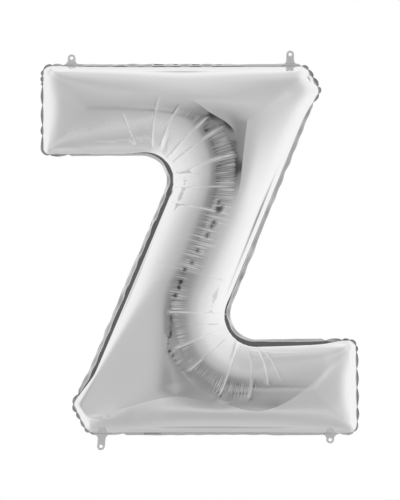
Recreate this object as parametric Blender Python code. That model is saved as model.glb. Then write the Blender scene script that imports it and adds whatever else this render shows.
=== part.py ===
"""Letter foil balloon in the shape of a Z, silver, with four hanging tabs and a filling tail.

Two sheets of metallised film are sealed to each other round the letter's edge. Gas blows the two
sheets out into a thin-walled pillow, and the sealed edge stays as a narrow flat band.
Frame: metres, +Z up, the front sheet towards -Y, origin at the middle of the letter in the plane
of the seal.
"""

import math

import bmesh
import bpy
import numpy as np
from mathutils import Matrix, Vector
from mathutils.geometry import delaunay_2d_cdt

MM = 0.001

# The sealed edge and the film
HALF_HEIGHT = 0.4488  # middle of the letter to the outer edge of the seal, top and bottom
SEAL_WIDTH = 7 * MM  # from the outer edge to where the sheets part
SEAL_OVERLAP = 3 * MM  # how far the band runs on under the sheets' rims
SEAL_THICK = 1.2 * MM
WALL = 1.2 * MM  # stands for film of a few hundredths of a millimetre
GAP = 0.3 * MM  # between two pieces that touch
PUFF = 0.94  # depth of the blown-up sheet, as a share of a round tube's

# Net of points over a sheet
EDGE_STEP = 20 * MM  # along a straight edge
ARC_STEP = math.radians(20)  # along a rounded corner
RINGS = (2.5 * MM, 10 * MM, 24 * MM, 44 * MM)  # steep rim: rows of points this far from the edge
RING_TRUE = 0.97  # share of its distance that a ring's point keeps from every edge
NET_STEP = 26 * MM  # over the crown
RING_SPREAD = 0.3 * NET_STEP  # least gap between a ring's points
CROWN_MARGIN = 14 * MM  # between the last ring and the crown's points
JOIN = 1e-6  # points closer than this are one

# Outer edge of the seal, clockwise from the top left: x, z, corner radius
EDGE = (
    (-0.3840, HALF_HEIGHT, 0.029),
    (0.2592, HALF_HEIGHT, 0.030),
    (0.2964, 0.3840, 0.022),
    (0.2690, 0.3384, 0.048),
    (0.0425, -0.2180, 0.062),  # inner corner on the right
    (0.3816, -0.2150, 0.024),
    (0.3840, -HALF_HEIGHT, 0.026),
    (-0.2736, -HALF_HEIGHT, 0.030),
    (-0.3132, -0.3744, 0.024),
    (-0.2698, -0.2952, 0.048),
    (-0.0497, 0.2280, 0.060),  # inner corner on the left
    (-0.3840, 0.2256, 0.019),
)

# Hanging tabs: name, x of the fold, +1 on the top edge or -1 on the bottom, length, lean
TAB_WIDTH = 19 * MM
TAB_FLARE = 5 * MM  # how much wider the root is on each side
TAB_THICK = 0.8 * MM
TAB_HEAD_STEPS = 9  # straight pieces round the half-round head
TAB_HOLE = 8 * MM
TAB_HOLE_SIDES = 16
TAB_HOLE_IN = 9 * MM  # from the head's end to the middle of the hole
FOLD_ROUNDING = 0.45  # radius of a folding plate's root, as a share of its thickness
TABS = (
    ("hang_tab_top_left", -0.3107, 1, 23 * MM, 0.0),
    ("hang_tab_top_right", 0.2183, 1, 32 * MM, 0.0),
    ("hang_tab_bottom_left", -0.2372, -1, 36 * MM, math.radians(5)),
    ("hang_tab_bottom_right", 0.3151, -1, 20 * MM, 0.0),
)

# Filling tail: a flat sleeve of both sheets round a clear film valve, folded back out of sight
TAIL_X = -0.115
TAIL_WIDTH = 38 * MM
TAIL_TAPER = 4 * MM  # how much wider the root is on each side
TAIL_TAPER_UP = 12 * MM  # how far up the tail its root narrows
TAIL_LENGTH = 55 * MM
TAIL_WALL = 0.5 * MM
TAIL_FOLD = math.radians(100)  # from hanging straight down, up behind the letter
VALVE_WIDTH = 27 * MM
VALVE_THICK = 0.5 * MM
VALVE_DEPTH = 40 * MM  # of the slit that holds it
VALVE_SHOWS = 7 * MM  # beyond the tail's mouth
SLIT_THICK = VALVE_THICK + 2 * GAP
TAIL_THICK = SLIT_THICK + 2 * TAIL_WALL


def clear_scene():
    for obj in list(bpy.data.objects):
        bpy.data.objects.remove(obj, do_unlink=True)


def finish_material(name, colour, roughness, metallic, alpha=1.0):
    material = bpy.data.materials.new(name)
    material.use_nodes = True
    shader = material.node_tree.nodes["Principled BSDF"]
    shader.inputs["Base Color"].default_value = (*colour, 1.0)
    shader.inputs["Roughness"].default_value = roughness
    shader.inputs["Metallic"].default_value = metallic
    shader.inputs["Alpha"].default_value = alpha
    return material


def new_object(name, mesh, material):
    obj = bpy.data.objects.new(name, mesh)
    obj.data.materials.append(material)
    bpy.context.scene.collection.objects.link(obj)
    return obj


def run_of(start, end, step):
    """Points from start up to, but not including, end, about a step apart."""
    count = max(1, round((end - start).length / step))
    return [start.lerp(end, i / count) for i in range(count)]


def rounded_edge(corners, arc_step=ARC_STEP, edge_step=EDGE_STEP):
    """Closed row of points round the corners, with each corner a true arc."""
    points = [Vector(corner[:2]) for corner in corners]
    arcs = []
    for i, (_, _, radius) in enumerate(corners):
        here = points[i]
        back = (points[i - 1] - here).normalized()
        ahead = (points[(i + 1) % len(points)] - here).normalized()
        half = back.angle(ahead) / 2
        centre = here + (back + ahead).normalized() * radius / math.sin(half)
        start = here + back * radius / math.tan(half)
        end = here + ahead * radius / math.tan(half)
        sweep = (start - centre).angle_signed(end - centre)
        steps = max(1, math.ceil(abs(sweep) / arc_step))
        spoke = start - centre
        turns = [Matrix.Rotation(-sweep * k / steps, 2) for k in range(steps + 1)]
        arcs.append([centre + turn @ spoke for turn in turns])
    row = []
    for i, arc in enumerate(arcs):
        row += arc[:-1]
        row += run_of(arc[-1], arcs[(i + 1) % len(arcs)][0], edge_step)
    return np.array([tuple(p) for p in row])


def inset(row, distance):
    """The closed clockwise row moved inwards by a distance, point by point."""
    along = np.roll(row, -1, axis=0) - np.roll(row, 1, axis=0)
    along /= np.linalg.norm(along, axis=1)[:, None]
    inward = np.stack([along[:, 1], -along[:, 0]], axis=1)
    return row + inward * distance


def distance_to(points, row):
    """How far each point is from the closed row of edges."""
    start = row[None]
    span = np.roll(row, -1, axis=0)[None] - start
    offset = points[:, None] - start
    share = np.clip((offset * span).sum(2) / (span**2).sum(2), 0, 1)
    return np.linalg.norm(offset - share[..., None] * span, axis=2).min(axis=1)


def inside(points, row):
    """Which points lie inside the closed row, by counting the edges to their right."""
    x, z = points[:, 0][:, None], points[:, 1][:, None]
    x0, z0 = row[:, 0][None], row[:, 1][None]
    x1, z1 = np.roll(row, -1, axis=0).T[:, None]
    crosses = (z0 > z) != (z1 > z)
    at = x0 + (z - z0) * (x1 - x0) / np.where(z1 == z0, 1, z1 - z0)
    return ((crosses & (x < at)).sum(axis=1) % 2).astype(bool)


def crown_points(rim):
    """A triangular lattice over the middle of the letter, clear of the rings."""
    low, high = rim.min(axis=0), rim.max(axis=0)
    row_step = NET_STEP * math.sqrt(3) / 2
    rows = np.arange(low[1], high[1], row_step)
    lattice = [
        (x + (i % 2) * NET_STEP / 2, z)
        for i, z in enumerate(rows)
        for x in np.arange(low[0], high[0], NET_STEP)
    ]
    lattice = np.array(lattice)
    lattice = lattice[inside(lattice, rim)]
    return lattice[distance_to(lattice, rim) > RINGS[-1] + CROWN_MARGIN]


def sheet_net(rim):
    """Points and triangles that cover the letter inside its rim. The rim's points come first."""
    rows = [rim]
    for distance in RINGS:
        ring = inset(rim, distance)
        kept = inside(ring, rim) & (distance_to(ring, rim) > RING_TRUE * distance)
        ring = ring[kept]
        spread = np.linalg.norm(ring - np.roll(ring, 1, axis=0), axis=1) > RING_SPREAD
        rows.append(ring[spread])
    rows.append(crown_points(rim))
    points = np.concatenate(rows)
    count = len(rim)
    edges = [(i, (i + 1) % count) for i in range(count)]
    corners, _, faces, _, _, _ = delaunay_2d_cdt(
        [Vector(p) for p in points], edges, [], 0, JOIN
    )
    points = np.array([tuple(p) for p in corners])
    faces = np.array([face for face in faces])
    faces = faces[inside(points[faces].mean(axis=1), rim)]
    return points, faces


def blown_depth(points, faces, rim_count):
    """Depth of the blown-up sheet over each point.

    A film under pressure, flattened, obeys Poisson's equation, and the square root of twice its
    answer is exactly a round tube over a straight strip. The rim stays at depth zero.
    """
    size = len(points)
    stiffness, load = np.zeros((size, size)), np.zeros(size)
    for face in faces:
        a, b, c = points[face]
        area = abs(np.cross(b - a, c - a)) / 2
        sides = np.array([c - b, a - c, b - a])
        stiffness[np.ix_(face, face)] += sides @ sides.T / (4 * area)
        load[face] += area / 3
    free = np.arange(rim_count, size)
    answer = np.zeros(size)
    answer[free] = np.linalg.solve(stiffness[np.ix_(free, free)], load[free])
    return PUFF * np.sqrt(2 * np.maximum(answer, 0))


def shell_mesh(name, outer, faces, rim_count):
    """A closed shell: the outer skin, the same skin moved in by the wall, and the flat rim."""
    a, b, c = (outer[faces[:, i]] for i in range(3))
    normals = np.zeros_like(outer)
    for i in range(3):
        np.add.at(normals, faces[:, i], np.cross(b - a, c - a))
    normals[:rim_count, 1] = 0  # the rim keeps to its own plane
    normals /= np.linalg.norm(normals, axis=1)[:, None]
    inner = outer - normals * WALL
    size = len(outer)
    rim = np.arange(rim_count)
    ahead = np.roll(rim, -1)
    quads = np.stack([rim, ahead, ahead + size, rim + size], axis=1)
    mesh = bpy.data.meshes.new(name)
    skins = [tuple(f) for f in faces] + [tuple(f[::-1] + size) for f in faces]
    mesh.from_pydata(np.concatenate([outer, inner]).tolist(), [], skins + quads.tolist())
    body = bmesh.new()
    body.from_mesh(mesh)
    bmesh.ops.recalc_face_normals(body, faces=body.faces)
    body.to_mesh(mesh)
    body.free()
    mesh.shade_smooth()
    return mesh


def make_sheets(rim, foil):
    points, faces = sheet_net(rim)
    depth = blown_depth(points, faces, len(rim))
    stand_off = SEAL_THICK / 2 + GAP
    for name, side in (("front_sheet", -1), ("back_sheet", 1)):
        y = side * (stand_off + depth)
        outer = np.stack([points[:, 0], y, points[:, 1]], axis=1)
        turn = faces if side * signed_area(points, faces[0]) > 0 else faces[:, ::-1]
        new_object(name, shell_mesh(name, outer, turn, len(rim)), foil)


def signed_area(points, face):
    """Twice the area of a triangle in x and z, positive if it faces -Y."""
    a, b, c = points[face]
    return -float(np.cross(b - a, c - a))


def make_seal(edge, foil):
    """The welded border: one flat band round the whole letter."""
    inner = inset(edge, SEAL_WIDTH + SEAL_OVERLAP)
    count = len(edge)
    loops = [(edge, -1), (inner, -1), (inner, 1), (edge, 1)]
    points = [(x, side * SEAL_THICK / 2, z) for loop, side in loops for x, z in loop]
    quads = [
        (k * count + i, k * count + j, (k + 1) % 4 * count + j, (k + 1) % 4 * count + i)
        for k in range(4)
        for i, j in ((i, (i + 1) % count) for i in range(count))
    ]
    mesh = bpy.data.meshes.new("seal_band")
    mesh.from_pydata(points, [], quads)
    body = bmesh.new()
    body.from_mesh(mesh)
    bmesh.ops.recalc_face_normals(body, faces=body.faces)
    body.to_mesh(mesh)
    body.free()
    new_object("seal_band", mesh, foil)


def plate_mesh(name, outline, thick):
    """A flat plate in the x-z plane with a half-round root along its two lowest points.

    The outline starts and ends at the root, and z = 0 is the middle of the root's rounding.
    """
    body = bmesh.new()
    face = body.faces.new([body.verts.new((x, -thick / 2, z)) for x, z in outline])
    grown = bmesh.ops.extrude_face_region(body, geom=[face])
    far = [v for v in grown["geom"] if isinstance(v, bmesh.types.BMVert)]
    bmesh.ops.translate(body, verts=far, vec=(0, thick, 0))
    bmesh.ops.recalc_face_normals(body, faces=body.faces)
    root = min(z for _, z in outline)
    edges = [e for e in body.edges if all(abs(v.co.z - root) < 1e-7 for v in e.verts)]
    long_edges = [e for e in edges if abs(e.verts[0].co.x - e.verts[1].co.x) > 1e-7]
    bmesh.ops.bevel(
        body, geom=long_edges, offset=FOLD_ROUNDING * thick, segments=2, affect="EDGES", profile=0.5
    )
    mesh = bpy.data.meshes.new(name)
    body.to_mesh(mesh)
    body.free()
    return mesh


def helper(name, mesh):
    """A cutter: it shapes another piece and isn't one itself."""
    obj = bpy.data.objects.new(name, mesh)
    obj.hide_render = True
    obj.display_type = "WIRE"
    bpy.context.scene.collection.objects.link(obj)
    return obj


def cut(obj, cutter):
    modifier = obj.modifiers.new("cut", "BOOLEAN")
    modifier.operation = "DIFFERENCE"
    modifier.object = cutter


def hole_cutter(name, radius, depth):
    """A round bar along Y, to punch a hole at its origin."""
    body = bmesh.new()
    turn = Matrix.Rotation(math.radians(90), 4, "X")
    bmesh.ops.create_cone(
        body,
        cap_ends=True,
        segments=TAB_HOLE_SIDES,
        radius1=radius,
        radius2=radius,
        depth=depth,
        matrix=turn,
    )
    mesh = bpy.data.meshes.new(name)
    body.to_mesh(mesh)
    body.free()
    return mesh


def tab_outline(length, lean):
    """From the flared root up one side, round the head and down: x, z. The root stays level."""
    half = TAB_WIDTH / 2
    root = -TAB_THICK / 2
    wide = half + TAB_FLARE
    head = [
        (half * math.cos(a), length - half + half * math.sin(a))
        for a in (math.pi * k / TAB_HEAD_STEPS for k in range(TAB_HEAD_STEPS + 1))
    ]
    flare = [(wide, root), (half + TAB_FLARE * 0.25, TAB_FLARE * 0.5)]
    row = flare + head + [(-x, z) for x, z in reversed(flare)]
    return [(x + max(z, 0) * math.tan(lean), z) for x, z in row]


def make_tabs(foil):
    """Each tab hangs on its own fold, just outside the seal."""
    clearance = TAB_THICK / 2 + GAP
    for name, x, side, length, lean in TABS:
        tab = new_object(name, plate_mesh(name, tab_outline(length, lean), TAB_THICK), foil)
        tab.location = (x, 0, side * (HALF_HEIGHT + clearance))
        tab.rotation_euler = (0, 0 if side > 0 else math.pi, 0)
        cutter = helper(name + "_hole", hole_cutter(name, TAB_HOLE / 2, 10 * TAB_THICK))
        cutter.parent = tab
        hole_up = length - TAB_HOLE_IN
        cutter.location = (hole_up * math.tan(lean), 0, hole_up)
        cut(tab, cutter)


def box_mesh(name, low, high):
    body = bmesh.new()
    middle = (Vector(low) + Vector(high)) / 2
    size = Vector(high) - Vector(low)
    matrix = Matrix.Translation(middle) @ Matrix.Diagonal((*size, 1))
    bmesh.ops.create_cube(body, size=1, matrix=matrix)
    mesh = bpy.data.meshes.new(name)
    body.to_mesh(mesh)
    body.free()
    return mesh


def make_tail(foil, clear_film):
    """The flat filling tail and the film valve that shows at its mouth."""
    half = TAIL_WIDTH / 2
    root = -TAIL_THICK / 2
    outline = [
        (half + TAIL_TAPER, root),
        (half, TAIL_TAPER_UP),
        (half, TAIL_LENGTH),
        (-half, TAIL_LENGTH),
        (-half, TAIL_TAPER_UP),
        (-half - TAIL_TAPER, root),
    ]
    fold = bpy.data.objects.new("tail_fold", None)
    bpy.context.scene.collection.objects.link(fold)
    fold.location = (TAIL_X, 0, -HALF_HEIGHT - TAIL_THICK / 2 - GAP)
    fold.rotation_euler = (math.pi + TAIL_FOLD, 0, 0)
    tail = new_object("filling_tail", plate_mesh("filling_tail", outline, TAIL_THICK), foil)
    tail.parent = fold
    slit_half = VALVE_WIDTH / 2 + GAP
    bottom = TAIL_LENGTH - VALVE_DEPTH
    slit = helper(
        "valve_slit",
        box_mesh(
            "valve_slit",
            (-slit_half, -SLIT_THICK / 2, bottom),
            (slit_half, SLIT_THICK / 2, TAIL_LENGTH + VALVE_SHOWS),
        ),
    )
    slit.parent = fold
    cut(tail, slit)
    valve = new_object(
        "valve_film",
        box_mesh(
            "valve_film",
            (-VALVE_WIDTH / 2, -VALVE_THICK / 2, bottom + GAP),
            (VALVE_WIDTH / 2, VALVE_THICK / 2, TAIL_LENGTH + VALVE_SHOWS),
        ),
        clear_film,
    )
    valve.parent = fold


def main():
    clear_scene()
    foil = finish_material("silver_foil", (0.86, 0.86, 0.87), 0.16, 1.0)
    clear_film = finish_material("clear_film", (0.85, 0.88, 0.9), 0.3, 0.0, alpha=0.6)
    edge = rounded_edge(EDGE)
    make_sheets(inset(edge, SEAL_WIDTH), foil)
    make_seal(edge, foil)
    make_tabs(foil)
    make_tail(foil, clear_film)


main()
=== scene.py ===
"""Looks of the silver foil letter balloon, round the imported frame, laid out as an add-on.

Two flat-cut films are blown up by a small simulation, drawn onto the outline of the seal, and
creased by formula. The seal, the punched tabs and the filling tail follow that outline.
"""

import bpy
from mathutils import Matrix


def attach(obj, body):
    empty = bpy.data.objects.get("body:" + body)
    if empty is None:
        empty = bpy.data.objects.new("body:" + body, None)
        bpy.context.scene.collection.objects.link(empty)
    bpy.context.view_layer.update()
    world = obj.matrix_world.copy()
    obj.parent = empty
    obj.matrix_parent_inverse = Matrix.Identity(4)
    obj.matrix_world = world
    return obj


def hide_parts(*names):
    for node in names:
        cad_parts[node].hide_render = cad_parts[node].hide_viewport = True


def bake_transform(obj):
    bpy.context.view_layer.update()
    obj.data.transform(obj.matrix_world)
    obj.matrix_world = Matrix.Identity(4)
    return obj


bl_info = {
    "name": "Foil Letter Balloon",
    "version": (1, 0, 0),
    "blender": (4, 5, 0),
    "location": "View3D > Sidebar > Balloon",
    "description": "Builds the films, seal, tabs and tail of a foil letter balloon",
    "category": "Object",
}

import math

import bpy
import numpy as np
from bpy.props import FloatProperty, FloatVectorProperty, PointerProperty
from mathutils import Vector
from mathutils.geometry import delaunay_2d_cdt

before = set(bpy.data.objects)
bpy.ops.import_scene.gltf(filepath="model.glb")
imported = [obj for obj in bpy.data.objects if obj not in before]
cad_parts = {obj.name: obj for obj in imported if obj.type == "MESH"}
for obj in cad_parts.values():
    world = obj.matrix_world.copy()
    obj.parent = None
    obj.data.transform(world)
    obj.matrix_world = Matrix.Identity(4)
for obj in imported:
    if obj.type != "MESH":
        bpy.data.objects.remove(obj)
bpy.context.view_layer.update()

MM = 0.001
HALF_HEIGHT = 0.4488  # middle of the letter to the outer edge of the seal
LINE_STEP = 2 * MM  # between the points of an outline
CAMERA_AWAY = 8.0  # from the seal's plane
CAMERA_Z = -0.0012  # the picture's middle, from the letter's
# The random draws start from these.
PLEAT_SEED, FILM_SEED, SEAL_SEED, PINCH_SEED = 11, 5, 8, 3

# Outer edge of the seal, blown up, clockwise from the top left: x, z and radius of each corner.
EDGE = (
    (-0.3840, HALF_HEIGHT, 0.023),
    (0.2592, HALF_HEIGHT, 0.030),
    (0.2964, 0.3840, 0.022),
    (0.2690, 0.3384, 0.048),
    (0.0425, -0.2180, 0.062),
    (0.3816, -0.2150, 0.024),
    (0.3840, -HALF_HEIGHT, 0.026),
    (-0.2736, -HALF_HEIGHT, 0.030),
    (-0.3132, -0.3744, 0.024),
    (-0.2698, -0.2952, 0.048),
    (-0.0497, 0.2280, 0.060),
    (-0.3840, 0.2256, 0.019),
)

# The film as it is cut, flat, to the seal's inner line: x, z, radius, and bow of the run that follows.
# The radii were chosen. The places and bows were fitted by a program outside this file, which changed
# them until the edge of the blown film fell on the seal's inner line.
FLAT_CUT = (
    (-0.4010, 0.5955, 0.085, 0.0044),
    (0.2667, 0.4873, 0.070, 0.0052),
    (0.3110, 0.4101, 0.070, -0.0012),
    (0.1464, -0.2035, 0.050, -0.0066),
    (0.4780, -0.3110, 0.085, -0.0034),
    (0.4036, -0.6036, 0.085, 0.0026),
    (-0.2888, -0.4886, 0.070, 0.0031),
    (-0.3297, -0.3984, 0.070, 0.0004),
    (-0.1531, 0.2163, 0.050, -0.0041),
    (-0.4739, 0.3301, 0.085, -0.0010),
)

# The seal round the outline, clockwise: x and z of a place in millimetres, and there the film's edge inside
# the outline, the band's width as it shows from the front, how far the band leans back in degrees, and the
# width of the film's steep foot.
SEAL_PLACES = (
    (-310, 449, 4.0, 3.8, 50, 3.0),
    (-150, 449, 4.6, 4.6, 50, 3.6),
    (100, 449, 4.2, 3.6, 55, 3.4),
    (215, 449, 4.6, 5.4, 35, 3.0),
    (256, 446, 4.2, 5.0, 3, 0.0),
    (288, 395, 4.4, 6.2, 2, 0.0),
    (278, 356, 4.6, 4.4, 10, 0.0),
    (262, 310, 6.2, 6.4, 20, 3.6),
    (150, 50, 6.4, 6.6, 20, 4.2),
    (84, -120, 5.6, 5.6, 24, 6.0),
    (95, -200, 5.0, 5.0, 34, 13.0),
    (150, -214, 4.6, 4.0, 45, 13.5),
    (230, -216, 4.6, 4.0, 45, 11.5),
    (300, -216, 4.6, 4.4, 24, 9.0),
    (330, -216, 4.2, 4.6, 2, 3.0),
    (376, -224, 3.6, 5.0, 1.5, 0.0),
    (383, -270, 3.2, 4.4, 1.5, 0.0),
    (384, -400, 3.2, 4.4, 1.5, 0.0),
    (360, -447, 3.6, 3.6, 12, 0.0),
    (300, -449, 4.2, 4.4, 45, 2.0),
    (100, -449, 4.2, 3.6, 50, 3.0),
    (-90, -449, 4.2, 4.8, 40, 3.0),
    (-180, -449, 4.2, 4.0, 40, 3.0),
    (-262, -447, 4.2, 4.8, 4, 0.0),
    (-306, -390, 4.2, 6.2, 2, 0.0),
    (-296, -350, 4.6, 4.8, 10, 3.0),
    (-270, -300, 5.8, 5.6, 36, 11.5),
    (-150, -30, 5.8, 5.6, 38, 12.5),
    (-84, 120, 5.4, 5.2, 40, 12.5),
    (-80, 200, 5.0, 4.8, 42, 12.0),
    (-130, 228, 4.4, 4.0, 40, 4.0),
    (-200, 226, 4.0, 3.6, 36, 0.0),
    (-300, 226, 4.0, 3.6, 30, 0.0),
    (-345, 226, 3.8, 4.4, 2, 0.0),
    (-383, 260, 3.2, 4.4, 1.5, 0.0),
    (-383, 410, 3.2, 4.4, 1.5, 0.0),
    (-360, 448, 3.8, 4.6, 2, 0.0),
)
INSET, SHOWN, LEAN, FOOT = 2, 3, 4, 5  # its columns after x and z
FOOT_SLOPES = (3.2, 1.7)  # how the film rises from its edge on its foot, and past it
FOOT_REACH = 14 * MM  # from its edge to where it takes its own depth again
# Where the seal is pinched into scallops, in rows clockwise, x and z in millimetres.
PINCHES = (
    ((248, 448), (265, 437), (279, 419), (290, 396), (292, 375), (279, 354)),
    ((305, -216), (344, -215), (362, -217), (379, -232), (380, -248), (385, -288), (380, -334), (385, -380),
     (384, -416), (371, -440), (339, -446)),
    ((-188, -446), (-240, -446), (-268, -444), (-283, -434), (-297, -416), (-304, -397), (-304, -375),
     (-297, -350)),
    ((-320, 226), (-363, 232), (-381, 276), (-384, 300), (-378, 349), (-382, 396), (-384, 404), (-384, 420),
     (-376, 433), (-357, 446), (-330, 448)),
)
# Where the blown film is evened out round the two inner corners, before the pleats go in: x and z where
# that starts and ends along its edge, clockwise, in millimetres.
EVENED = ((118, -30, 250, -216), (-118, 30, -250, 226))

# Planes that the crown of the film stays under, in millimetres: x and z of a place, the depth there, the
# rise of the depth for each millimetre along x and z, and the lowest and highest z that it holds for.
FLATS = (
    (69, 293, 121.5, -0.05, -0.08, -400, 400),
    (10, 0, 119.5, -0.05, 0.02, -400, 400),
    (-23, -329, 117, -0.03, 0.08, -400, 400),
    (-96, -250, 119, 0.5, 0.0, -400, -80),
)
# Swellings along the bars, in millimetres: the width, then x, z and height of points on each one's line.
SWELLS = (
    (30, (-160, -396, 0), (-80, -396, 15), (190, -396, 15), (340, -396, 0)),
    (40, (110, 215, 0), (100, 150, 3), (88, 80, 4), (47, 2, 4), (16, -56, 3), (-18, -123, 0)),
)
# Small flat places down the crest that face the viewer, in millimetres: x and z of each, and its size.
TEETH = (
    (46, 98, 13), (44, 112, 8), (33, 62, 10), (27, 55, 7), (17, 34, 8.5), (-5, -2, 7), (-19, -31, 7),
    (-36, -48, 7), (-45, -77, 6.5), (-50, -91, 6.5), (-58, -110, 6.5), (-71, -242, 7), (-63, -253, 7.5),
    (-55, -264, 7.5), (-47, -275, 7), (-39, -286, 6), (4, -319, 5), (12, -323, 5), (20, -328, 5),
    (28, -333, 5.5), (36, -337, 5.5), (43, -341, 5), (80, -344, 4.5), (88, -344, 4.5), (96, -344, 5),
    (104, -344, 5), (111, -344, 4.5),
)

# Rays of the two fans of pleats, over the whole bend, in millimetres: x and z of the end on the left,
# x and z of the end on the right, how far the ray's middle bends to its left, and its depth as a crease.
RAYS = (
    (-154, 247, -186, 328, 1.2, 1.6),
    (-115, 241, -94, 376, 6.8, 2.0),
    (-98, 242, -47, 348, 4.6, 1.6),
    (-83, 215, 17, 315, 2.4, 1.8),
    (-71, 206, 54, 293, 2.9, 1.4),
    (-70, 176, 83, 227, 4.4, 2.0),
    (-70, 149, 83, 150, 0.5, 0.7),
    (-77, 115, 83, 79, 2.2, 1.4),
    (-96, 41, 69, -2, 1.2, 0.4),
    (-105, -31, 69, -79, 1.2, 0.9),
    (-81, -149, 59, -153, 0.0, 1.3),
    (-62, -237, 64, -184, -1.2, 1.3),
    (-30, -293, 67, -210, 0.0, 1.3),
    (47, -351, 93, -223, -1.2, 1.0),
    (116, -362, 118, -238, -7.7, 1.2),
    (163, -322, 140, -238, -4.8, 1.2),
    (194, -312, 156, -242, -2.4, 1.0),
)
RAY_LENGTH = 0.16  # of most rays, for the number of points along one
PLEAT_SPAN = (0.06, 1.04)  # shares of a ray between which its pleats run
# Pleats between one ray and the next. Then for each ray where along it they are strongest, from its left
# end, and how high they are there, in millimetres.
PLEATS = (18, 11, 14, 9, 14, 15, 14, 16, 15, 22, 18, 12, 18, 14, 12, 6)
PEAKS = (0.55, 0.8, 0.92, 0.92, 0.9, 0.92, 0.9, 0.82, 0.62, 0.4, 0.12, 0.08, 0.08, 0.12, 0.15, 0.2, 0.3)
HEIGHTS = (0.4, 0.5, 0.4, 0.4, 0.4, 0.45, 0.7, 1.0, 1.1, 1.1, 1.0, 0.8, 0.7, 0.5, 0.5, 0.4, 0.4)

# Ridges outside the fans, in millimetres: the reach of each flank, and x, z and height of points on it.
RIDGES = (
    (22, (266, 424, 0), (235, 404, 5), (197, 375, 7), (151, 339, 6), (116, 312, 4.5), (110, 288, 4.5),
     (103, 230, 3.6), (95, 155, 2.4), (80, 90, 0)),
    (18, (-192, 370, 0), (-108, 374, 2.2), (-53, 367, 2.6), (-11, 351, 2.6), (23, 327, 2.2), (59, 306, 1.6),
     (80, 285, 1.6), (84, 261, 1.4), (83, 225, 0)),
    (22, (-260, -420, 0), (-225, -402, 5), (-197, -385, 6), (-120, -361, 3), (-57, -351, 1), (0, -360, 0)),
    (20, (-57, -351, 0), (-62, -320, 2.6), (-74, -266, 3), (-76, -240, 2.5), (-79, -196, 0)),
    (26, (38, -356, 0), (74, -373, 1.6), (110, -383, 2.4), (146, -385, 2.8), (182, -376, 2.8),
     (216, -359, 2.6), (250, -335, 2.2), (285, -306, 1.4), (320, -272, 0)),
    (12, (-77, -152, 0), (-77, -217, 2), (-73, -240, 2.2), (-35, -291, 2.2), (1, -317, 2.2), (44, -341, 2.2),
     (54, -361, 1.6), (115, -365, 0)),
    (14, (-318, 270, 0), (-260, 286, 1.4), (-202, 299, 0)),
    (7, (-250, 249, 0), (-210, 257, 0.8), (-168, 266, 0)),
)

# Hanging tabs: node, body, x of the fold, +1 on the top edge or -1 on the bottom, length, lean to the side,
# and how far the film curls back for each length.
TABS = (
    ("hang_tab_top_left", "tab_top_left", -0.3107, 1, 0.023, 0.0, 0.26),
    ("hang_tab_top_right", "tab_top_right", 0.2183, 1, 0.032, 0.0, 0.12),
    ("hang_tab_bottom_left", "tab_bottom_left", -0.2372, -1, 0.036, math.radians(5), 0.03),
    ("hang_tab_bottom_right", "tab_bottom_right", 0.3151, -1, 0.020, 0.0, 0.2),
)
TAIL_X = -0.115
TAIL_FOLD_Z = -0.44995
TAIL_FOLD = math.radians(100)  # from hanging straight down, up behind the letter


class FilmSettings(bpy.types.PropertyGroup):
    """The two films of the envelope."""

    net_step: FloatProperty(
        name="Net Step", description="Side of a triangle in the first net", default=0.0225, min=0.01,
        unit="LENGTH",
    )
    gas_push: FloatProperty(
        name="Gas Push", description="Pressure over the film's stiffness, per metre", default=0.05, min=0.01,
    )
    tint: FloatVectorProperty(
        name="Foil Tint", description="Colour of the bright metal side", default=(0.90, 0.90, 0.905),
        subtype="COLOR", min=0.0, max=1.0,
    )
    polish: FloatProperty(
        name="Foil Roughness", description="Blur of what the foil mirrors", default=0.10, min=0.0, max=1.0,
        subtype="FACTOR",
    )


class SealSettings(bpy.types.PropertyGroup):
    """The flat band where the films are welded."""

    thick: FloatProperty(
        name="Seal Thickness", description="Both films together", default=0.0006, min=0.0001, unit="LENGTH",
    )


class TabSettings(bpy.types.PropertyGroup):
    """The punched hanging tabs."""

    width: FloatProperty(
        name="Tab Width", description="Across the straight part", default=0.019, min=0.005, unit="LENGTH",
    )
    hole: FloatProperty(
        name="Hole", description="Diameter of the punched hole", default=0.008, min=0.002, unit="LENGTH",
    )
    hole_in: FloatProperty(
        name="Hole Inset", description="Tab's end to the middle of the hole", default=0.009, min=0.004,
        unit="LENGTH",
    )


class TailSettings(bpy.types.PropertyGroup):
    """The filling tail and its valve."""

    width: FloatProperty(
        name="Tail Width", description="Across the straight part", default=0.038, min=0.01, unit="LENGTH",
    )
    length: FloatProperty(
        name="Tail Length", description="Fold to mouth", default=0.055, min=0.01, unit="LENGTH",
    )
    valve_width: FloatProperty(
        name="Valve Width", description="Across the clear sleeve", default=0.027, min=0.005, unit="LENGTH",
    )


class StageSettings(bpy.types.PropertyGroup):
    """Floor, light and camera."""

    floor_drop: FloatProperty(
        name="Floor Drop", description="Middle of the letter to the floor", default=1.5, min=0.5,
        unit="LENGTH",
    )
    camera_away: FloatProperty(
        name="Camera Distance", description="From the seal's plane", default=CAMERA_AWAY, min=2.0,
        unit="LENGTH",
    )
    frame_height: FloatProperty(
        name="Frame Height", description="Height that the picture takes in, at the seal", default=1.21,
        min=0.5, unit="LENGTH",
    )


# Outlines and nets


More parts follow.
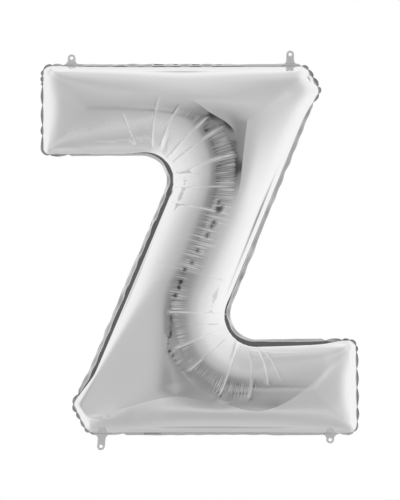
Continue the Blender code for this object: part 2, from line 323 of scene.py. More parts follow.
def bowed_line(corners, step):
    """Closed row of points. Each corner is an arc of its radius, and each run from arc to arc bows out
    by 4 b t (1 - t), with b the corner's fourth value, or is straight where it has none."""
    points = [np.array(c[:2]) for c in corners]
    count = len(points)
    arcs = []
    for i, corner in enumerate(corners):
        back = points[i - 1] - points[i]
        ahead = points[(i + 1) % count] - points[i]
        back_length = np.linalg.norm(back)
        ahead_length = np.linalg.norm(ahead)
        back = back / back_length
        ahead = ahead / ahead_length
        half = math.acos(np.clip(ahead @ back, -1, 1)) / 2
        radius = min(corner[2], 0.48 * min(back_length, ahead_length) * math.tan(half))
        middle = (ahead + back) / np.linalg.norm(ahead + back)
        centre = points[i] + middle * radius / math.sin(half)
        start = points[i] + back * radius / math.tan(half) - centre
        end = points[i] + ahead * radius / math.tan(half) - centre
        a0 = math.atan2(start[1], start[0])
        a1 = math.atan2(end[1], end[0])
        turn = (a1 - a0 + math.pi) % (2 * math.pi) - math.pi
        steps = max(2, int(abs(turn) * radius / step))
        angle = a0 + turn * np.arange(steps + 1) / steps
        arcs.append(centre + radius * np.stack([np.cos(angle), np.sin(angle)], 1))
    row = []
    for i, arc in enumerate(arcs):
        start, end = arc[-1], arcs[(i + 1) % count][0]
        span = end - start
        steps = max(2, int(np.linalg.norm(span) / step))
        t = (np.arange(steps) / steps)[:, None]
        out = np.array([-span[1], span[0]]) / np.linalg.norm(span)
        bow = corners[i][3] if len(corners[i]) > 3 else 0.0
        row += [arc[:-1], start + span * t + out * 4 * bow * t * (1 - t)]
    return np.concatenate(row)


def along(row):
    """Distance from the first point to each point of a closed row, and its whole length last."""
    sides = np.linalg.norm(np.roll(row, -1, 0) - row, axis=1)
    return np.concatenate([[0], np.cumsum(sides)])


def sample(row, places):
    """Points of a closed row at these distances along it."""
    reach = along(row)
    closed = np.concatenate([row, row[:1]])
    places = places % reach[-1]
    return np.stack([np.interp(places, reach, closed[:, k]) for k in range(row.shape[1])], 1)


def evenly(row, count):
    """This many points of a closed row, at even distances along it."""
    return sample(row, np.arange(count) * along(row)[-1] / count)


def inward(row):
    """Unit normals of a clockwise closed row, to the inside."""
    run = np.roll(row, -1, 0) - np.roll(row, 1, 0)
    run = run / np.linalg.norm(run, axis=1)[:, None]
    return np.stack([run[:, 1], -run[:, 0]], 1)


def inside(points, row, block=4000):
    """True where a line to the right of a point crosses the row an odd number of times."""
    x0, z0 = row[:, 0][None], row[:, 1][None]
    x1, z1 = np.roll(row, -1, axis=0).T[:, None]
    slant = (x1 - x0) / np.where(z1 == z0, 1, z1 - z0)
    within = np.zeros(len(points), bool)
    for k in range(0, len(points), block):
        x, z = points[k : k + block, 0][:, None], points[k : k + block, 1][:, None]
        crosses = (z0 > z) != (z1 > z)
        within[k : k + block] = (crosses & (x < x0 + (z - z0) * slant)).sum(axis=1) % 2
    return within


def nearest_on(points, row, block=2000):
    """Distance from each point to a closed row, and the distance along the row of the nearest place."""
    reach = along(row)
    start = row[None]
    span = np.roll(row, -1, axis=0)[None] - start
    square = np.maximum((span**2).sum(2), 1e-18)
    gap = np.empty(len(points))
    place = np.empty(len(points))
    for k in range(0, len(points), block):
        off = points[k : k + block, None] - start
        share = np.clip((off * span).sum(2) / square, 0, 1)
        far = np.linalg.norm(off - share[..., None] * span, axis=2)
        best = far.argmin(1)
        rows = np.arange(len(best))
        gap[k : k + block] = far[rows, best]
        place[k : k + block] = reach[best] + share[rows, best] * (reach[best + 1] - reach[best])
    return gap, place


def lattice(row, step):
    """Corners of even triangles over the inside of a row."""
    low, high = row.min(0), row.max(0)
    levels = np.arange(low[1], high[1], step * math.sqrt(3) / 2)
    across = np.arange(low[0], high[0], step)
    x = across[None] + (np.arange(len(levels)) % 2)[:, None] * step / 2
    points = np.stack([x, np.broadcast_to(levels[:, None], x.shape)], 2).reshape(-1, 2)
    return points[inside(points, row)]


def ring_sides(count, first=0):
    """Pairs of neighbours round a ring of numbered points."""
    return [(first + i, first + (i + 1) % count) for i in range(count)]


def triangulated(points, sides):
    """Delaunay triangles between the points, with these sides kept: Blender's own lists of them."""
    return delaunay_2d_cdt([Vector(p) for p in points], sides, [], 0, 1e-7)


def twice_areas(points, faces):
    """Cross product of two sides of each flat triangle: twice its area, negative where it runs clockwise."""
    a, b, c = (points[faces[:, k]] for k in range(3))
    return (b - a)[:, 0] * (c - a)[:, 1] - (b - a)[:, 1] * (c - a)[:, 0]


def turned_up(points, faces, least=0.0):
    """The faces, all anticlockwise, without those whose doubled area is under the least."""
    area = twice_areas(points, faces)
    faces[area < 0] = faces[area < 0][:, ::-1]
    return faces[np.abs(area) >= least]


def flat_net(row, step):
    """Triangles over the inside of a row: its own points, and a lattice of even triangles within."""
    points = lattice(row, step)
    points = np.concatenate([row, points[nearest_on(points, row)[0] > 0.6 * step]])
    faces = np.array(triangulated(points, ring_sides(len(row)))[2])
    return points, turned_up(points, faces[inside(points[faces].mean(1), row)], 1e-10)


def gathered(index, values, count):
    """For each number below the count, the sum of the rows of values that have it as their index."""
    return np.stack([np.bincount(index, values[:, k], count) for k in range(values.shape[1])], 1)


def split_edges(faces, count):
    """Ends of each edge once, and for each face the numbers of its three edges."""
    sides = np.sort(np.stack([faces, np.roll(faces, -1, 1)], 2).reshape(-1, 2), 1)
    keys, found = np.unique(sides[:, 0] * count + sides[:, 1], return_inverse=True)
    return np.stack([keys // count, keys % count], 1), found.reshape(-1, 3)


def quartered(faces, edge_of, count):
    """Each triangle cut in four at the middles of its sides."""
    m = edge_of + count
    a, b, c = faces.T
    p, q, r = m.T
    return np.concatenate([np.stack(t, 1) for t in ((a, p, r), (p, b, q), (r, q, c), (p, q, r))])


def finer_rim(rim, ends, count):
    """The rim's row with the new middles between its old points."""
    sides = np.sort(np.stack([rim, np.roll(rim, -1)], 1), 1)
    middles = np.searchsorted(ends[:, 0] * count + ends[:, 1], sides[:, 0] * count + sides[:, 1]) + count
    return np.stack([rim, middles], 1).ravel()


def smooth_finer(values, faces, ends, edge_of, rim):
    """Values on the net cut in four, by the smoothing weights of a subdivision surface for triangles:
    an edge's point is 3/8 of each end and 1/8 of each corner across, an old point gives part of itself
    to its neighbours, and the rim is a curve of its own with weights 1/8, 6/8, 1/8."""
    count = len(values)
    across = np.roll(faces, -2, 1)
    total = gathered(edge_of.ravel(), values[across.ravel()], len(ends))
    uses = np.bincount(edge_of.ravel(), minlength=len(ends))[:, None]
    pair = values[ends[:, 0]] + values[ends[:, 1]]
    middle = np.where(uses > 1, pair * 3 / 8 + total / 8, pair / 2)
    near = gathered(ends[:, 0], values[ends[:, 1]], count) + gathered(ends[:, 1], values[ends[:, 0]], count)
    valence = np.bincount(ends.ravel(), minlength=count)[:, None]
    give = np.where(valence == 3, 3 / 16, 3 / 8 / np.maximum(valence, 1))
    old = values * (1 - valence * give) + near * give
    edge = values[rim]
    old[rim] = edge * 0.75 + (np.roll(edge, 1, 0) + np.roll(edge, -1, 0)) / 8
    return np.concatenate([old, middle])


def face_normals(points, faces):
    """Cross products of two sides of each face."""
    a = points[faces[:, 0]]
    return np.cross(points[faces[:, 1]] - a, points[faces[:, 2]] - a)


def point_normals(points, faces):
    """Unit normals, the sum of the neighbouring faces' weighted by area."""
    flat = face_normals(points, faces)
    total = sum(gathered(faces[:, j], flat, len(points)) for j in range(3))
    return total / np.maximum(np.linalg.norm(total, axis=1), 1e-15)[:, None]


# Blowing up the film


class Membrane:
    """Film that carries pull and no push: where it would be squeezed it wrinkles for nothing."""

    def __init__(self, flat, faces, rim, press, across=0.3, soft=0.002):
        a = flat[faces[:, 0]]
        d = np.stack([flat[faces[:, 1]] - a, flat[faces[:, 2]] - a], 2)
        twice = d[:, 0, 0] * d[:, 1, 1] - d[:, 0, 1] * d[:, 1, 0]
        self.faces, self.rim, self.press, self.across, self.soft = faces, rim, press, across, soft
        self.count = len(flat)
        self.area = twice / 2
        self.inverse = np.stack([d[:, 1, 1], -d[:, 0, 1], -d[:, 1, 0], d[:, 0, 0]]) / twice

    def pull(self, x):
        """Energy and its slope. Strain is half of F'F - 1, from the flat triangle to the bent one, with
        principal values e1 > e2. Taut film has (e1^2 + e2^2 + 2 n e1 e2) / 2 (1 - n^2) per area,
        wrinkled film e1^2 / 2, slack film nothing, and the gas gives pressure times volume."""
        f = self.faces
        x0 = x[f[:, 0]]
        s1 = x[f[:, 1]] - x0
        s2 = x[f[:, 2]] - x0
        i00, i01, i10, i11 = (v[:, None] for v in self.inverse)
        f1 = s1 * i00 + s2 * i10
        f2 = s1 * i01 + s2 * i11
        c11, c22, c12 = (f1 * f1).sum(1), (f2 * f2).sum(1), (f1 * f2).sum(1)
        half = (c11 - c22) / 2
        spread = np.sqrt(half * half + c12 * c12) + 1e-12
        e1 = ((c11 + c22) / 2 + spread - 1) / 2
        e2 = ((c11 + c22) / 2 - spread - 1) / 2
        n = self.across
        k = 1 / (1 - n * n)
        taut = e2 + n * e1 > 0
        slack = e1 < 0
        t1 = np.where(slack, 0, np.where(taut, k * (e1 + n * e2), e1))
        t2 = np.where(taut & ~slack, k * (e2 + n * e1), 0)
        stored = np.where(taut, k / 2 * (e1 * e1 + e2 * e2 + 2 * n * e1 * e2), e1 * e1 / 2)
        stored = np.where(slack, 0, stored)
        n1, n2 = np.minimum(e1, 0), np.minimum(e2, 0)
        stored = stored + self.soft / 2 * (n1 * n1 + n2 * n2)
        t1 = t1 + self.soft * n1
        t2 = t2 + self.soft * n2
        mean, apart = (t1 + t2) / 2, (t1 - t2) / 2
        t11 = ((mean + apart * half / spread) * self.area)[:, None]
        t22 = ((mean - apart * half / spread) * self.area)[:, None]
        t12 = (apart * c12 / spread * self.area)[:, None]
        p1 = f1 * t11 + f2 * t12
        p2 = f1 * t12 + f2 * t22
        g1 = p1 * i00 + p2 * i01
        g2 = p1 * i10 + p2 * i11
        normal = np.cross(s1, s2)
        volume = ((x0[:, 1] + (s1[:, 1] + s2[:, 1]) / 3) * normal[:, 1] / 2).sum()
        push = self.press / 6 * normal
        parts = (-(g1 + g2) - push, g1 - push, g2 - push)
        slope = sum(gathered(f[:, j], parts[j], self.count) for j in range(3))
        slope[self.rim, 1] = 0
        return (stored * self.area).sum() - self.press * volume, slope


def settle(film, x, rounds, memory=12, stride=0.01):
    """Goes down the film's energy by the limited-memory quasi-Newton rule, no point further than the
    stride in a round."""
    energy, slope = film.pull(x)
    past = []
    for _ in range(rounds):
        way = slope.copy()
        gave = []
        for s, y, r in reversed(past):
            gave.append(r * (s * way).sum())
            way -= gave[-1] * y
        if past:
            s, y, _r = past[-1]
            way *= (s * y).sum() / (y * y).sum()
        else:
            way *= min(0.05, 1e-3 / np.abs(way).max())
        for (s, y, r), a in zip(past, reversed(gave)):
            way += s * (a - r * (y * way).sum())
        fall = -(way * slope).sum()
        if fall > 0:
            past = []
            continue
        share = min(1.0, stride / math.sqrt((way * way).sum(1).max()))
        for _try in range(12):
            there = x - share * way
            new_energy, new_slope = film.pull(there)
            if new_energy <= energy + 1e-4 * share * fall:
                break
            share *= 0.4
        else:
            if not past:
                break
            past = []
            continue
        s, y = there - x, new_slope - slope
        turn = (s * y).sum()
        if turn > 1e-14 * (y * y).sum():
            past = (past + [(s, y, 1 / turn)])[-memory:]
        x, energy, slope = there, new_energy, new_slope
    return x


def blown_film(settings):
    """The flat cut blown up, coarse to fine, with its rim free to slide in the seal's plane. Returns
    flat points, blown points, faces and the rim's row."""
    dense = bowed_line(FLAT_CUT, LINE_STEP)
    rim_count = int(round(along(dense)[-1] / settings.net_step))
    flat, faces = flat_net(evenly(dense, rim_count), settings.net_step)
    rim = np.arange(rim_count)
    gap = nearest_on(flat, flat[rim])[0]
    x = np.stack([flat[:, 0] * 0.9, -np.sqrt(gap) * 0.3, flat[:, 1] * 0.8], 1)
    rounds = ((500, 350, 220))
    for level, steps in enumerate(rounds):
        if level:
            flat, x, faces, rim = finer(flat, x, faces, rim)
            flat[rim] = evenly(dense, len(rim))
        x = settle(Membrane(flat, faces, rim, settings.gas_push), x, steps)
    return flat, x, faces, rim


def finer(flat, x, faces, rim):
    """One cut in four of the whole net."""
    count = len(flat)
    ends, edge_of = split_edges(faces, count)
    x = smooth_finer(x, faces, ends, edge_of, rim)
    x[rim, 1] = 0
    flat = np.concatenate([flat, (flat[ends[:, 0]] + flat[ends[:, 1]]) / 2])
    new_rim = finer_rim(rim, ends, count)
    x[new_rim, 1] = 0
    return flat, x, quartered(faces, edge_of, count), new_rim


def drawn_to(x, rim, outline, spread=0.03, fade=0.06):
    """Slides the film in the seal's plane until its rim lies on the outline. A point near the rim takes
    the Gaussian mean of the rim's moves, less the further in it is."""
    total = along(outline)[-1]
    place = nearest_on(x[rim][:, [0, 2]], outline)[1]
    step = (np.diff(np.concatenate([place, place[:1]])) + total / 2) % total - total / 2
    step = np.maximum(step, 0)
    for _ in range(6):
        step = (np.roll(step, 1) + 2 * step + np.roll(step, -1)) / 4
    step *= total / step.sum()
    even = np.concatenate([[0], np.cumsum(step)[:-1]])
    off = (place - even - place[0] + total / 2) % total - total / 2
    move = sample(outline, even + place[0] + np.median(off)) - x[rim][:, [0, 2]]
    flat = x[:, [0, 2]]
    edge = flat[rim]
    gap = nearest_on(flat, edge)[0]
    out = x.copy()
    out[:, [0, 2]] += near_edge(flat, edge, move, spread) * np.exp(-((gap[:, None] / fade) ** 2))
    out[rim[:, None], [0, 2]] = edge + move
    return out


def seal_values(outline, places, column):
    """A column of the seal's table at these distances along the outline, straight from row to row."""
    table = np.array(SEAL_PLACES) * (MM, MM, MM, MM, 1, 1)
    total = along(outline)[-1]
    stop = nearest_on(table[:, :2], outline)[1]
    order = np.argsort(stop)
    return np.interp(places % total, stop[order], table[order, column], period=total)


def film_edge():
    """The line where the films part: the outline less the seal's inset there."""
    edge = bowed_line(EDGE, LINE_STEP)
    inset = seal_values(edge, along(edge)[:-1], INSET)
    smooth = np.ones(9) / 9
    inset = np.convolve(np.concatenate([inset[-4:], inset, inset[:4]]), smooth, "valid")
    return edge + inward(edge) * inset[:, None]


def neighbours(x, faces):
    """Mean of the neighbours of each point: every face adds its two other corners to each of its own."""
    others = x[faces].sum(1)[:, None] - x[faces]
    total = gathered(faces.ravel(), others.reshape(-1, x.shape[1]), len(x))
    return total / (2 * np.maximum(np.bincount(faces.ravel(), minlength=len(x)), 1))[:, None]


def evened(x, faces, rim):
    """Takes the folds out of the film round the inner corners. First each point goes to the mean of its
    neighbours and out again a little less, many times. Then the depth becomes a function of the place s
    along the edge and the distance g from it, the Gaussian mean along s of what it was."""
    edge = x[rim][:, [0, 2]]
    total = along(edge)[-1]
    fade, spacing, spread = 60 * MM, 5 * MM, 26 * MM
    for x0, z0, x1, z1 in EVENED:
        gap, place = nearest_on(x[:, [0, 2]], edge)
        ends = np.array([[x0, z0], [x1, z1]]) * MM
        start, stop = nearest_on(ends, edge)[1]
        length = (stop - start) % total
        place = (place - start + total / 4) % total - total / 4
        weight = step_up(place, 0, fade) * (1 - step_up(place, length - fade, length))
        weight = weight * (1 - step_up(gap, 62 * MM, 105 * MM))
        free = weight.copy()
        free[rim] = 0
        for k in range(160):
            x = x + (neighbours(x, faces) - x) * (0.6 if k % 2 == 0 else -0.55) * free[:, None]
        s = np.arange(-80 * MM, length + 80 * MM, spacing)
        g = np.concatenate([[0], np.geomspace(1.5 * MM, 110 * MM, 32)])
        foot = sample(edge, s + start)
        run = sample(edge, s + start + 8 * MM) - sample(edge, s + start - 8 * MM)
        way = np.stack([run[:, 1], -run[:, 0]], 1) / np.linalg.norm(run, axis=1)[:, None]
        spots = foot[:, None] + way[:, None] * g[None, :, None]
        depth = carry(x[:, [0, 2]], faces, x[:, 1:2], spots.reshape(-1, 2)).reshape(len(s), len(g))
        kernel = np.exp(-(((s[:, None] - s[None]) / spread) ** 2) / 2)
        depth = kernel @ depth / kernel.sum(1)[:, None]
        i = np.clip((place - s[0]) / spacing, 0, len(s) - 1.001)
        j = np.clip(np.interp(gap, g, np.arange(len(g))), 0, len(g) - 1.001)
        i0, j0 = i.astype(int), j.astype(int)
        fi, fj = i - i0, j - j0
        smooth = ((depth[i0, j0] * (1 - fj) + depth[i0, j0 + 1] * fj) * (1 - fi)
                  + (depth[i0 + 1, j0] * (1 - fj) + depth[i0 + 1, j0 + 1] * fj) * fi)
        x = x.copy()
        x[:, 1] = x[:, 1] * (1 - weight) + smooth * weight
        x[rim, 1] = 0
    return x


def near_edge(spots, edge, values, spread=18 * MM, block=2000):
    """Gaussian mean over the edge's points of their values, for each spot."""
    mean = np.empty((len(spots), values.shape[1]))
    for k in range(0, len(spots), block):
        square = ((spots[k : k + block, None] - edge[None]) ** 2).sum(2)
        weight = np.exp(-(square - square.min(1)[:, None]) / (2 * spread**2))
        mean[k : k + block] = weight @ values / weight.sum(1)[:, None]
    return mean


def eased(x, faces, rim, outline):
    """Untangles the film near its edge, then shifts its depth to what the foot needs at the foot's reach.
    The shift is spread over 150 mm where it takes off and over 60 mm where it adds."""
    places = x[:, [0, 2]]
    edge = places[rim]
    free = 1 - step_up(nearest_on(places, edge)[0], 12 * MM, 40 * MM)[:, None]
    free[rim] = 0
    for _ in range(60):
        places = places + (neighbours(places, faces) - places) * 0.6 * free
    foot = seal_values(outline, nearest_on(edge, outline)[1], FOOT) * MM
    high = -carry(places, faces, x[:, 1:2], edge + inward(edge) * FOOT_REACH)[:, 0]
    step = FOOT_SLOPES[0] * foot + FOOT_SLOPES[1] * (FOOT_REACH - foot) - high
    step = near_edge(places, edge, step[:, None])[:, 0]
    gap = nearest_on(places, edge)[0]
    spread = np.where(step > 0, 60 * MM, 150 * MM)
    deep = np.maximum(-x[:, 1] + step * (1 - step_up(gap / spread, 0, 1)), 0)
    for width, *corners in SWELLS:
        gap, high = heights_by(places, corners, line_points(corners, 8 * MM))
        deep = deep + high * np.exp(-((gap / width / MM) ** 2))
    return np.stack([places[:, 0], -deep, places[:, 1]], 1)


def levelled(x, power=24):
    """Keeps the film's depth d under each plane c, with a soft minimum: d / (1 + (d / c)^p)^(1/p), p the
    power. Outside its own heights a plane rises by two for each one."""
    out = x.copy()
    for x0, z0, depth, along_x, along_z, low, high in FLATS:
        z = x[:, 2] / MM
        plane = depth + along_x * (x[:, 0] / MM - x0) + along_z * (z - z0)
        plane = plane + 2 * (np.maximum(low - z, 0) + np.maximum(z - high, 0))
        plane = np.maximum(plane, 1) * MM
        out[:, 1] = out[:, 1] / (1 + (-out[:, 1] / plane) ** power) ** (1 / power)
    return out


def footed(x, rim, outline):
    """Gives the film its foot: it rises from its edge by the foot's slope for the width in the table, then
    by the slope past it, and takes its own depth again round the foot's reach."""
    edge = x[rim][:, [0, 2]]
    foot = seal_values(outline, nearest_on(edge, outline)[1], FOOT) * MM
    gap = nearest_on(x[:, [0, 2]], edge)[0]
    near = gap < FOOT_REACH + 6 * MM
    gap = gap[near]
    foot = near_edge(x[near][:, [0, 2]], edge, foot[:, None])[:, 0]
    risen = FOOT_SLOPES[0] * np.minimum(gap, foot) + FOOT_SLOPES[1] * np.maximum(gap - foot, 0)
    share = step_up(gap, FOOT_REACH - 7 * MM, FOOT_REACH + 6 * MM)
    out = x.copy()
    out[near, 1] = x[near, 1] * share - risen * (1 - share)
    out[rim, 1] = 0
    return out


# Creases and pleats


def carry(places, faces, values, new_places):
    """Values of a net at new places on it: the faces are dropped into square bins, and each place takes
    the nearest bins' face that it is inside, or least outside, and mixes its corners' values."""
    corner = places[faces]
    centre = corner.mean(1)
    cell = 1.2 * np.median(np.linalg.norm(corner[:, 0] - corner[:, 1], axis=1))
    low = centre.min(0) - 2 * cell
    shape = ((centre.max(0) - low) / cell).astype(int) + 3
    home = ((centre - low) / cell).astype(int)
    home = home[:, 0] * shape[1] + home[:, 1]
    order = np.argsort(home, kind="stable")
    held = np.bincount(home, minlength=shape[0] * shape[1])
    first = np.concatenate([[0], np.cumsum(held)[:-1]])
    a, b, c = (corner[:, k] for k in range(3))
    det = twice_areas(places, faces)
    det = np.where(np.abs(det) < 1e-14, 1e-14, det)
    here = np.clip(((new_places - low) / cell).astype(int), 1, shape - 2)
    best = np.full(len(new_places), -np.inf)
    face = np.zeros(len(new_places), int)
    share = np.zeros((len(new_places), 3))
    for dx in (-1, 0, 1):
        for dz in (-1, 0, 1):
            box = (here[:, 0] + dx) * shape[1] + here[:, 1] + dz
            for k in range(held[box].max()):
                ok = np.nonzero(held[box] > k)[0]
                f = order[first[box[ok]] + k]
                p = new_places[ok] - a[f]
                s1 = (p[:, 0] * (c - a)[f, 1] - p[:, 1] * (c - a)[f, 0]) / det[f]
                s2 = ((b - a)[f, 0] * p[:, 1] - (b - a)[f, 1] * p[:, 0]) / det[f]
                least = np.minimum(np.minimum(s1, s2), 1 - s1 - s2)
                won = least > best[ok]
                at = ok[won]
                best[at] = least[won]
                face[at] = f[won]
                share[at] = np.stack([1 - s1 - s2, s1, s2], 1)[won]
    return (values[faces[face]] * share[..., None]).sum(1)


def step_up(value, low, high):
    """0 below low, 1 above high, and 3 t^2 - 2 t^3 between."""
    t = np.clip((value - low) / (high - low), 0, 1)
    return t * t * (3 - 2 * t)


def ray_lines():
    """Rays in metres: left end, run to the right end, unit normal to the ray's left, and bend."""
    rays = np.array(RAYS) * MM
    run = rays[:, 2:4] - rays[:, :2]
    left = np.stack([-run[:, 1], run[:, 0]], 1) / np.linalg.norm(run, axis=1)[:, None]
    return rays[:, :2], run, left, rays[:, 4]


def ray_points(number, v):
    """Point at share v of a ray: a + v d + 4 s v (1 - v) n, and between two rays their mean by the
    number's fraction."""
    start, run, left, bend = ray_lines()
    low = np.minimum(number.astype(int), len(RAYS) - 2)
    ends = [
        start[i] + run[i] * v[:, None] + left[i] * (4 * bend[i] * v * (1 - v))[:, None]
        for i in (low, low + 1)
    ]
    part = (number - low)[:, None]
    return ends[0] * (1 - part) + ends[1] * part


def ray_gaps(points):
    """For each point and ray: distance to the bent ray, above nought towards the next, and share v."""
    start, run, left, bend = ray_lines()
    off = points[:, None] - start[None]
    v = (off * run).sum(2) / (run**2).sum(1)
    inner = np.clip(v, 0, 1)
    return 4 * bend * inner * (1 - inner) - (off * left).sum(2), v


def in_fans(points, margin):
    """True for points between two rays and not further past their ends than the margin."""
    gap, v = ray_gaps(points)
    lengths = np.linalg.norm(ray_lines()[1], axis=1)
    within = (v * lengths > -margin) & ((v - 1) * lengths < margin)
    between = (gap[:, :-1] > -margin / 4) & (gap[:, 1:] < margin / 4)
    return (between & within[:, :-1] & within[:, 1:]).any(1)


def pleat_bounds(seed):
    """Ray numbers where one pleat ends and the next begins: even shares of each gap between rays,
    shifted at random by up to 0.3 of a pleat, the rays themselves unmoved."""
    chance = np.random.default_rng(seed)
    bounds = []
    for i, count in enumerate(PLEATS):
        even = np.arange(count)
        shift = np.where(even > 0, chance.uniform(-0.3, 0.3, count), 0)
        bounds.append(i + (even + shift) / count)
    return np.append(np.concatenate(bounds), len(PLEATS))


def pleat_grid(bounds, row_step, parts):
    """Points in rows across the pleats, with a column at each bound and even ones between."""
    fraction = np.arange(parts) / parts
    number = (bounds[:-1, None] + np.diff(bounds)[:, None] * fraction).ravel()
    number = np.append(number, bounds[-1])
    v = np.linspace(*PLEAT_SPAN, int(RAY_LENGTH / row_step))
    number, v = (k.ravel() for k in np.meshgrid(number, v, indexing="ij"))
    return ray_points(number, v), number, v


def pleat_heights(number, v, bounds, seed):
    """Height of the fine pleats. Across a pleat it is 1 - |2 t - 1|^1.6, a pillow between two sharp
    folds. Along it a bell round the fan's peak, each pleat with its own strength, shift and length."""
    chance = np.random.default_rng(seed)
    k = np.clip(np.searchsorted(bounds, number, side="right") - 1, 0, len(bounds) - 2)
    t = (number - bounds[k]) / (bounds[k + 1] - bounds[k])
    count = len(bounds)
    strong = chance.beta(1.3, 1.6, count)
    shift = chance.normal(0, 0.035, count)
    long = chance.uniform(0.05, 0.17, count)
    peak = np.interp(number, np.arange(len(PEAKS)), PEAKS) + shift[k]
    high = np.interp(number, np.arange(len(HEIGHTS)), HEIGHTS) * MM
    bell = np.exp(-(((v - peak) / long[k]) ** 2))
    wide = np.exp(-(((v - peak) / 0.45) ** 2))
    ends = step_up(v, PLEAT_SPAN[0], 0.16) * (1 - step_up(v, 0.96, PLEAT_SPAN[1]))
    last = len(PLEATS)
    ends = ends * step_up(number, 0, 0.6) * (1 - step_up(number, last - 0.8, last))
    pillow = 1 - np.abs(2 * t - 1) ** 1.6
    return (high * strong[k] * bell + 0.16 * high * wide) * ends * (pillow - 0.5)


def ray_heights(points, seed, wide_reach=9 * MM, narrow_reach=1.5 * MM):
    """Creases along the rays: minus depth, times the sum of 0.6 and 0.75 of exp(-gap / reach) for the
    wide reach and the narrow one, fading at both ends."""
    chance = np.random.default_rng(seed)
    gap, v = ray_gaps(points)
    depth = np.array(RAYS)[:, 5] * MM * chance.uniform(0.85, 1.15, len(RAYS))
    ends = step_up(v, -0.02, 0.08) * (1 - step_up(v, 0.8, 1.03))
    wide = np.exp(-np.abs(gap) / wide_reach)
    narrow = np.exp(-np.abs(gap) / narrow_reach)
    return -(depth * ends * (0.6 * wide + 0.75 * narrow)).sum(1)


def line_points(corners, step):
    """Points on a smooth curve through the corners' x and z: a cubic through each four, by length."""
    corner = np.array(corners)[:, :2] * MM
    ring = np.concatenate([corner[:1] * 2 - corner[1:2], corner, corner[-1:] * 2 - corner[-2:-1]])
    t = np.linspace(0, 1, 12, endpoint=False)[:, None]
    parts = [
        (2 * q + (r - p) * t + (2 * p - 5 * q + 4 * r - s) * t**2 + (3 * q - p - 3 * r + s) * t**3) / 2
        for p, q, r, s in zip(ring, ring[1:], ring[2:], ring[3:])
    ]
    curve = np.concatenate(parts + [corner[-1:]])
    reach = np.concatenate([[0], np.cumsum(np.linalg.norm(np.diff(curve, axis=0), axis=1))])
    places = np.linspace(0, reach[-1], max(3, int(reach[-1] / step)))
    return np.stack([np.interp(places, reach, curve[:, k]) for k in range(2)], 1)


def line_gap(points, line):
    """Distance from each point to an open line, and the share of the line's points at the nearest place."""
    gap = np.full(len(points), np.inf)
    share = np.zeros(len(points))
    for k in range(len(line) - 1):
        off = points - line[k]
        run = line[k + 1] - line[k]
        t = np.clip((off @ run) / (run @ run), 0, 1)
        far = np.linalg.norm(off - t[:, None] * run, axis=1)
        near = far < gap
        gap[near] = far[near]
        share[near] = (k + t[near]) / (len(line) - 1)
    return gap, share


def heights_by(points, corners, line):
    """Distance from each point to a line, and the corners' heights, straight from one to the next along
    the line, at the nearest place."""
    table = np.array(corners)
    own = line_gap(table[:, :2] * MM, line)[1]
    gap, share = line_gap(points, line)
    return gap, np.interp(share, own, table[:, 2]) * MM


def ridge_heights(points):
    """Ridges: height times exp(-gap / reach) to each line, and where several meet the fourth root of the
    sum of their fourth powers."""
    total = np.zeros(len(points))
    for reach, *corners in RIDGES:
        line = line_points(corners, 4 * MM)
        wide = 5 * reach * MM
        ok = np.nonzero(((points > line.min(0) - wide) & (points < line.max(0) + wide)).all(1))[0]
        gap, high = heights_by(points[ok], corners, line)
        total[ok] += (high * np.exp(-gap / (reach * MM))) ** 4
    return total**0.25


def toothed(x, share_flat=0.95):
    """Flattens the film at each tooth to the plane y = m + a . d, with m its Gaussian mean there, d the
    distance from the tooth's middle and a minus half the line of sight's slope: it mirrors the viewer.
    The rest of its own relief stays, so the pleats still show across it."""
    out = x.copy()
    for place_x, place_z, size in np.array(TEETH) * MM:
        off = x[:, [0, 2]] - (place_x, place_z)
        gap = np.linalg.norm(off, axis=1) / size
        near = np.exp(-(gap**2))
        flat = (out[:, 1] @ near) / near.sum() - off @ np.array([place_x, place_z]) / (2 * CAMERA_AWAY)
        out[:, 1] += (flat - out[:, 1]) * share_flat * (1 - step_up(gap, 0.8, 1.2))
    return out


def pinch_heights(points, rim, reach=2.6 * MM):
    """Short folds running in from each pinch of the seal, deepest near the edge: minus depth, times
    exp(-side / reach), times a hump of the distance in. Turn, length and depth are random."""
    total = np.zeros(len(points))
    chance = np.random.default_rng(PINCH_SEED)
    edge = points[rim]
    way = inward(edge)
    for row in PINCHES:
        for pinch in np.array(row) * MM:
            k = np.argmin(((edge - pinch) ** 2).sum(1))
            turn = chance.normal(0, 0.2)
            ahead = way[k] @ np.array([[math.cos(turn), math.sin(turn)], [-math.sin(turn), math.cos(turn)]])
            off = points - edge[k]
            into = off @ ahead
            side = np.abs(off @ np.array([-ahead[1], ahead[0]]))
            long = chance.uniform(14, 30) * MM
            hump = step_up(into, 0, 4 * MM) * (1 - step_up(into, 0.3 * long, long))
            total -= chance.uniform(0.3, 0.7) * MM * hump * np.exp(-side / reach)
    return total


